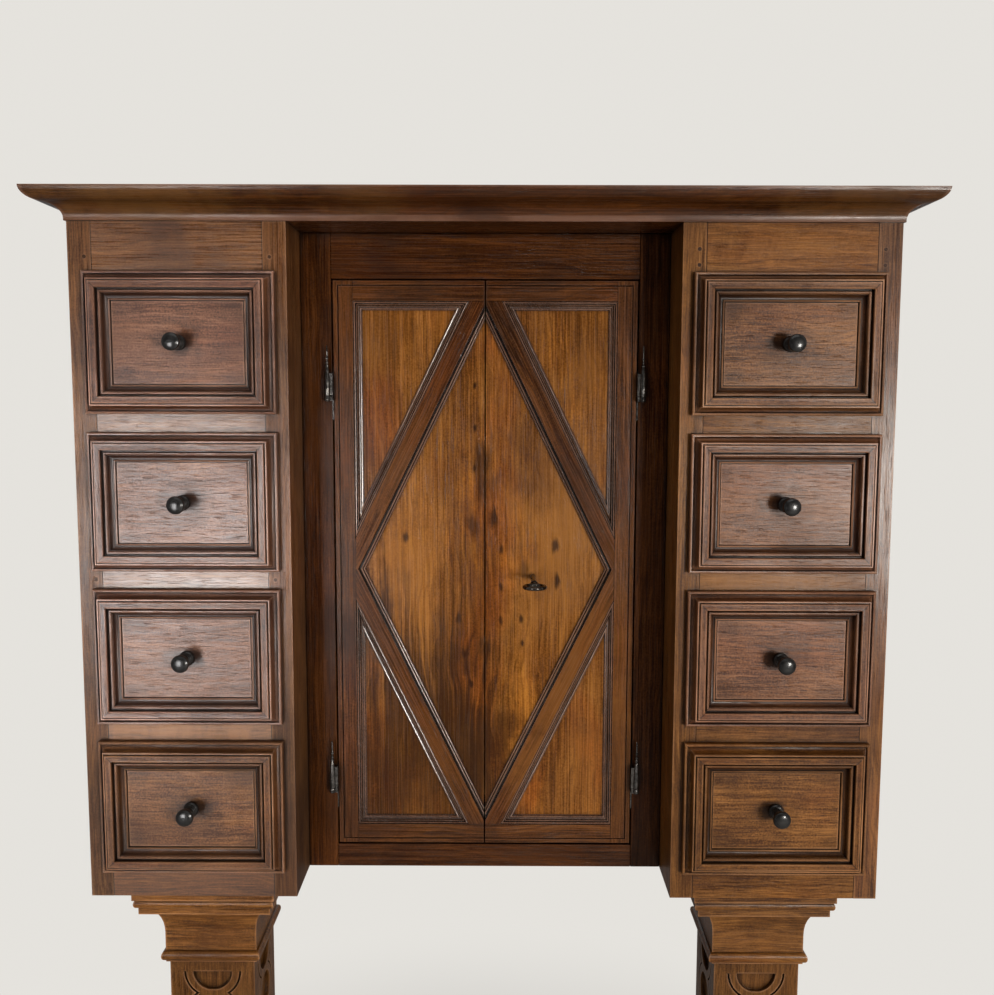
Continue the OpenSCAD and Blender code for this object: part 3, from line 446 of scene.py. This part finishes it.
dress("left_outer_side left_inner_side", left_side, BOARD_EDGE)
dress("right_outer_side", right_outer, BOARD_EDGE)
dress("right_inner_side", right_inner, BOARD_EDGE)
dress("left_rails", left_rail, FINE_EDGE)
dress("right_rails", right_rail, FINE_EDGE)
dress("cupboard_stiles", shaded_upright, BOARD_EDGE)
dress("cupboard_rails bottom_boards top_board", shaded_level, BOARD_EDGE)
dress("leg_capitals leg_bases", post_head)
dress("leg_plinths", post_head, BOARD_EDGE)
dress("leg_shafts", post, POST_EDGE)
dress("cornice_front", cornice)
dress("cornice_returns", cornice_return)
dress("frame_pegs", wood("peg_wood", DEEP, "y", 6.0, bright=0.6, spec=0.2))
dress("left_runners right_runners shelf_battens", inner_deep)
dress("cupboard_shelves", inner_wide)
dress("back_boards", inner_tall)

# ---------------------------------------------------------------- doors
# Knots, worm holes, dark stains and broad darker patches, in the case's frame: x, z, radius, strength
MARKS = [
    (-0.004, 0.470, 0.014, 0.75), (-0.005, 0.440, 0.012, 0.70), (0.009, 0.405, 0.008, 0.85),
    (-0.014, 0.400, 0.011, 0.70), (-0.090, 0.383, 0.005, 0.85), (-0.011, 0.553, 0.003, 0.95),
    (-0.012, 0.506, 0.003, 0.90), (-0.012, 0.462, 0.003, 0.85), (0.079, 0.374, 0.006, 0.85),
    (0.018, 0.370, 0.004, 0.80), (0.080, 0.334, 0.006, 0.90), (0.018, 0.327, 0.004, 0.85),
    (0.041, 0.290, 0.004, 0.90), (0.042, 0.262, 0.003, 0.90), (0.018, 0.288, 0.004, 0.80),
    (-0.030, 0.290, 0.005, 0.75), (-0.024, 0.250, 0.005, 0.80), (-0.015, 0.215, 0.004, 0.90),
    (0.046, 0.347, 0.009, 0.55), (-0.002, 0.260, 0.010, 0.55), (-0.055, 0.215, 0.060, 0.45),
    (-0.012, 0.150, 0.050, 0.45), (-0.110, 0.110, 0.060, 0.45), (0.143, 0.185, 0.012, 0.85),
    (0.010, 0.440, 0.010, 0.35), (-0.120, 0.300, 0.018, 0.35), (-0.045, 0.470, 0.030, 0.25),
    (0.045, 0.500, 0.025, 0.25), (-0.110, 0.150, 0.110, 0.60), (-0.010, 0.110, 0.090, 0.60),
    (-0.115, 0.560, 0.080, 0.28), (0.105, 0.590, 0.050, 0.22), (-0.005, 0.330, 0.060, 0.25),
    (-0.030, 0.560, 0.040, 0.20),
]
# Painted sheen: lighter places of the boards, and of the bands and mouldings laid on them
DOOR_SHEEN = [(-0.085, 0.350, 0.060, 0.45), (0.085, 0.385, 0.070, 0.60), (0.060, 0.310, 0.040, 0.35),
         (-0.130, 0.600, 0.030, 0.30), (0.110, 0.560, 0.025, 0.35), (0.120, 0.120, 0.030, 0.25)]
BAND_SHEEN = [(0.105, 0.215, 0.090, 0.62), (0.060, 0.130, 0.080, 0.45), (0.155, 0.330, 0.060, 0.10),
              (-0.060, 0.110, 0.070, 0.25), (-0.100, 0.470, 0.050, 0.20), (0.155, 0.120, 0.080, 0.25)]
board = wood("door_board_wood", GOLDEN, "z", 7.0, ring=0.006, wax_and_shade=0.8, gloss=0.22, spec=0.18, spots=MARKS,
             sheen_spots=DOOR_SHEEN, contrast=0.88, length=3.0, patchy=1.0, bright=1.06, mottle=0.7)
laid = wood("door_frame_wood", FRAMED, "z", 8.0, slants=True, gloss=0.22, spec=0.17, length=2.0, rub_and_highlight=0.5,
            rub_highlight_reach=0.0014, patchy=0.6, contrast=1.15, sheen_spots=BAND_SHEEN, sheen_colour=(0.240, 0.090, 0.018))
ridged = wood("door_moulding_wood", DEEP, "z", 9.0, slants=True, gloss=0.16, coat=0.45, spec=0.45, rub_and_highlight=0.7,
              rub_highlight_reach=0.0018, sheen_spots=BAND_SHEEN[:2], sheen_colour=(0.200, 0.085, 0.030))
dress("left_door_board right_door_board", board)
dress("left_door_frame right_door_frame", laid, FINE_EDGE)
dress("left_door_mouldings right_door_mouldings", ridged)


# ---------------------------------------------------------------- drawers
def ebonised():
    """Black polished wood, lighter in spots, with painted shade darkening its corners."""
    m, g, shader = new_material("ebonised_wood")
    spot = g.noise(g.coordinates("Object"), 260.0, 3.0, 0.6)
    worn = g.ramp(spot, [(0.35, (0.004, 0.0035, 0.0035)), (0.75, (0.012, 0.011, 0.010))])
    # ambient occlusion paints shade into the corners
    clear = g.span(g.open_to(0.008, 8), 0.5, 0.95)
    g.put(shader.inputs["Base Color"], g.mix(clear, (0.003, 0.0025, 0.002), worn))
    g.put(shader.inputs["Roughness"], g.span(spot, 0.3, 0.7, 0.32, 0.48))
    set_polish(shader, 0.25, 0.5, 0.13)
    return m


# Of each tower: side, first seed, brightness and how far beside the knob its painted shadow lies; then, row by row
# from the top, the tones, the polish and how dark the frame is
TOWERS = {
    "left": (-1, 10.0, 1.0, 0.006,
             (REDDISH, REDDISH, REDDISH, UMBER), (0.42, 0.62, 0.52, 0.36), (1.0, 1.0, 1.0, 0.75)),
    "right": (1, 14.0, 1.12, -0.007,
              (UMBER, RUSSET, RUSSET, OLIVE), (0.24, 0.28, 0.26, 0.20), (0.75, 0.75, 0.75, 0.75)),
}
# Where darker patches lie, from a drawer's middle towards the corners of its field
FIELD_X, FIELD_Z = 0.060, 0.038
ebony = ebonised()
for tower, (side, seed, bright, beside, tones, polish, frame_dark) in TOWERS.items():
    for row in range(4):
        name = "%s_drawer_%d" % (tower, row + 1)
        x, z = side * DRAWER_X, ROW_1_Z - row * PITCH
        # the knob's painted shadow beside it, a darker ring round the knob and darker patches in the field's corners
        knob_shadow_and_patches = [(x + beside, z + 0.001, 0.015, 0.85), (x, z, 0.034, 0.30)]
        knob_shadow_and_patches += [(x + u * FIELD_X, z + v * FIELD_Z, 0.020, 0.30) for u in (-1, 1) for v in (-1, 1)]
        front = wood(name + "_wood", tones[row], "x", seed + row, frame_at=place(x, 0.0, z), spec=polish[row],
                     spots=knob_shadow_and_patches, mark_y=-0.004, mark_squash=(0.75, 0.2, 1.0), rub_and_highlight=0.8, wax_and_shade=0.95, patchy=0.6,
                     mottle=1.2, bright=bright, frame_dark=frame_dark[row])
        dress(name + "_front", front)
        dress(name + "_box", inner_deep)
        dress(name + "_knob", ebony)


# ---------------------------------------------------------------- metal
def metal(name, dark, bright, rough):
    """Old metal with dark and bright patches and a fine grain."""
    m, g, shader = new_material(name)
    here = g.coordinates("Object")
    broad = g.noise(here, 220.0, 4.0, 0.65)
    fine = g.noise(here, 900.0, 2.0, 0.5)
    both = g.plus(g.times(broad, 0.7), g.times(fine, 0.3))
    g.put(shader.inputs["Base Color"], g.ramp(both, [(0.40, dark), (0.62, bright)]))
    g.put(shader.inputs["Roughness"], g.span(broad, 0.35, 0.65, rough, rough + 0.12))
    shader.inputs["Metallic"].default_value = 0.9
    bump = g.add("ShaderNodeBump", {"Strength": 0.12, "Distance": 0.0002, "Height": broad})
    g.put(shader.inputs["Normal"], bump.outputs[0])
    return m


iron = metal("hinge_iron", (0.050, 0.045, 0.040), (0.17, 0.16, 0.15), 0.15)
steel = metal("key_steel", (0.045, 0.036, 0.029), (0.13, 0.115, 0.10), 0.18)
dress("hinge_pins left_hinge_barrels right_hinge_barrels lock_case", iron)
dress("key lock_bolt", steel)

# ---------------------------------------------------------------- floor and world
PALE = (0.783, 0.763, 0.723)
FLOOR_SIZE, FLOOR_COLOUR = 60.0, (0.70, 0.68, 0.65)
# The floor fades to PALE from the first distance to the second, and up to the first by LEAST_FADE
FADE_FROM, FADE_TO, LEAST_FADE = 0.35, 1.30, 0.50

bpy.ops.mesh.primitive_plane_add(size=FLOOR_SIZE, location=(0, 0, 0))
floor = bpy.context.object
floor.name = "floor"
floor_mat = bpy.data.materials.new("floor_pale")
floor_mat.use_nodes = True
g = Graph(floor_mat.node_tree)
floor_x, floor_y, _ = g.xyz(g.coordinates("Object"))
far = g.span(g.radius(floor_x, floor_y), FADE_FROM, FADE_TO, LEAST_FADE, 1.0)
matt = g.add("ShaderNodeBsdfDiffuse", {"Color": FLOOR_COLOUR})
plain = g.add("ShaderNodeEmission", {"Color": PALE, "Strength": 1.0})
fade = g.times(far, g.add("ShaderNodeLightPath").outputs["Is Camera Ray"])
g.finish("ShaderNodeOutputMaterial", g.mix_shaders(fade, matt, plain))
floor.data.materials.append(floor_mat)

# The world is plain where the camera sees it and dim as a light; in reflections it is pale behind and beside
# the cabinet and darker where the viewer stands
DIM_LIGHT, VIEWER_SIDE, FAR_SIDE = 0.20, 0.07, 0.60
world = bpy.data.worlds.new("studio")
bpy.context.scene.world = world
world.use_nodes = True
g = Graph(world.node_tree)
path = g.add("ShaderNodeLightPath").outputs
_, depth, _ = g.xyz(g.coordinates("Generated"))
mirrored = g.span(depth, -0.75, 0.1, VIEWER_SIDE, FAR_SIDE)
seen = g.math("MAXIMUM", path["Is Camera Ray"], path["Is Transmission Ray"])
dim = g.add("ShaderNodeBackground", {"Color": (0.93, 0.95, 1.0), "Strength": DIM_LIGHT})
sheen = g.add("ShaderNodeBackground", {"Color": (1.0, 0.98, 0.96), "Strength": mirrored})
pale = g.add("ShaderNodeBackground", {"Color": PALE, "Strength": 1.0})
bounced = g.mix_shaders(path["Is Glossy Ray"], dim, sheen)
g.finish("ShaderNodeOutputWorld", g.mix_shaders(seen, bounced, pale))


# ---------------------------------------------------------------- lights and camera
def area(name, at, aim, size, power, colour, spread=180.0):
    """A rectangular lamp at a point, aimed at another; spread is in degrees."""
    light = bpy.data.lights.new(name, "AREA")
    light.shape = "RECTANGLE"
    light.size, light.size_y = size
    light.energy = power
    light.color = colour
    light.spread = math.radians(spread)
    o = bpy.data.objects.new(name, light)
    bpy.context.scene.collection.objects.link(o)
    o.location = at
    o.rotation_euler = (Vector(aim) - Vector(at)).to_track_quat("-Z", "Y").to_euler()


area("key", (1.35, -2.5, 1.02), (0.05, 0, 1.15), (0.50, 0.55), 46.0, (1.0, 0.96, 0.90))
# A weak, narrow lamp aimed at the left tower
area("left_box", (-0.83, -1.6, 0.90), (-0.46, -0.1, 1.12), (0.5, 0.78), 1.3, (1.0, 0.98, 0.97), 42.0)
area("top", (0.0, -1.3, 3.0), (0, 0, 1.0), (2.0, 1.0), 8.0, (1.0, 0.98, 0.95))

# The camera that was fitted to the photograph: place, angles, and focal length in pixels of the picture
CAMERA_AT = place(0.0161, -1.0369, 0.5385)
CAMERA_PITCH, CAMERA_YAW, CAMERA_ROLL = (math.radians(a) for a in (5.66, -0.14, 0.16))
SENSOR_MM, FOCAL_PX, LONG_SIDE_PX = 36.0, 1000.0, 995.0

level = math.cos(CAMERA_PITCH)
forward = Vector((math.sin(CAMERA_YAW) * level, math.cos(CAMERA_YAW) * level, -math.sin(CAMERA_PITCH)))
side = Vector((math.cos(CAMERA_YAW), -math.sin(CAMERA_YAW), 0.0))
upward = side.cross(forward)
right = math.cos(CAMERA_ROLL) * side + math.sin(CAMERA_ROLL) * upward
up = -math.sin(CAMERA_ROLL) * side + math.cos(CAMERA_ROLL) * upward
camera_data = bpy.data.cameras.new("camera")
camera_data.sensor_width = SENSOR_MM
camera_data.lens = SENSOR_MM * FOCAL_PX / LONG_SIDE_PX
camera = bpy.data.objects.new("camera", camera_data)
bpy.context.scene.collection.objects.link(camera)
turn = Matrix((right, up, -forward)).transposed().to_4x4()
camera.matrix_world = Matrix.Translation(CAMERA_AT) @ turn
bpy.context.scene.camera = camera
bpy.context.scene.view_settings.view_transform = "Standard"
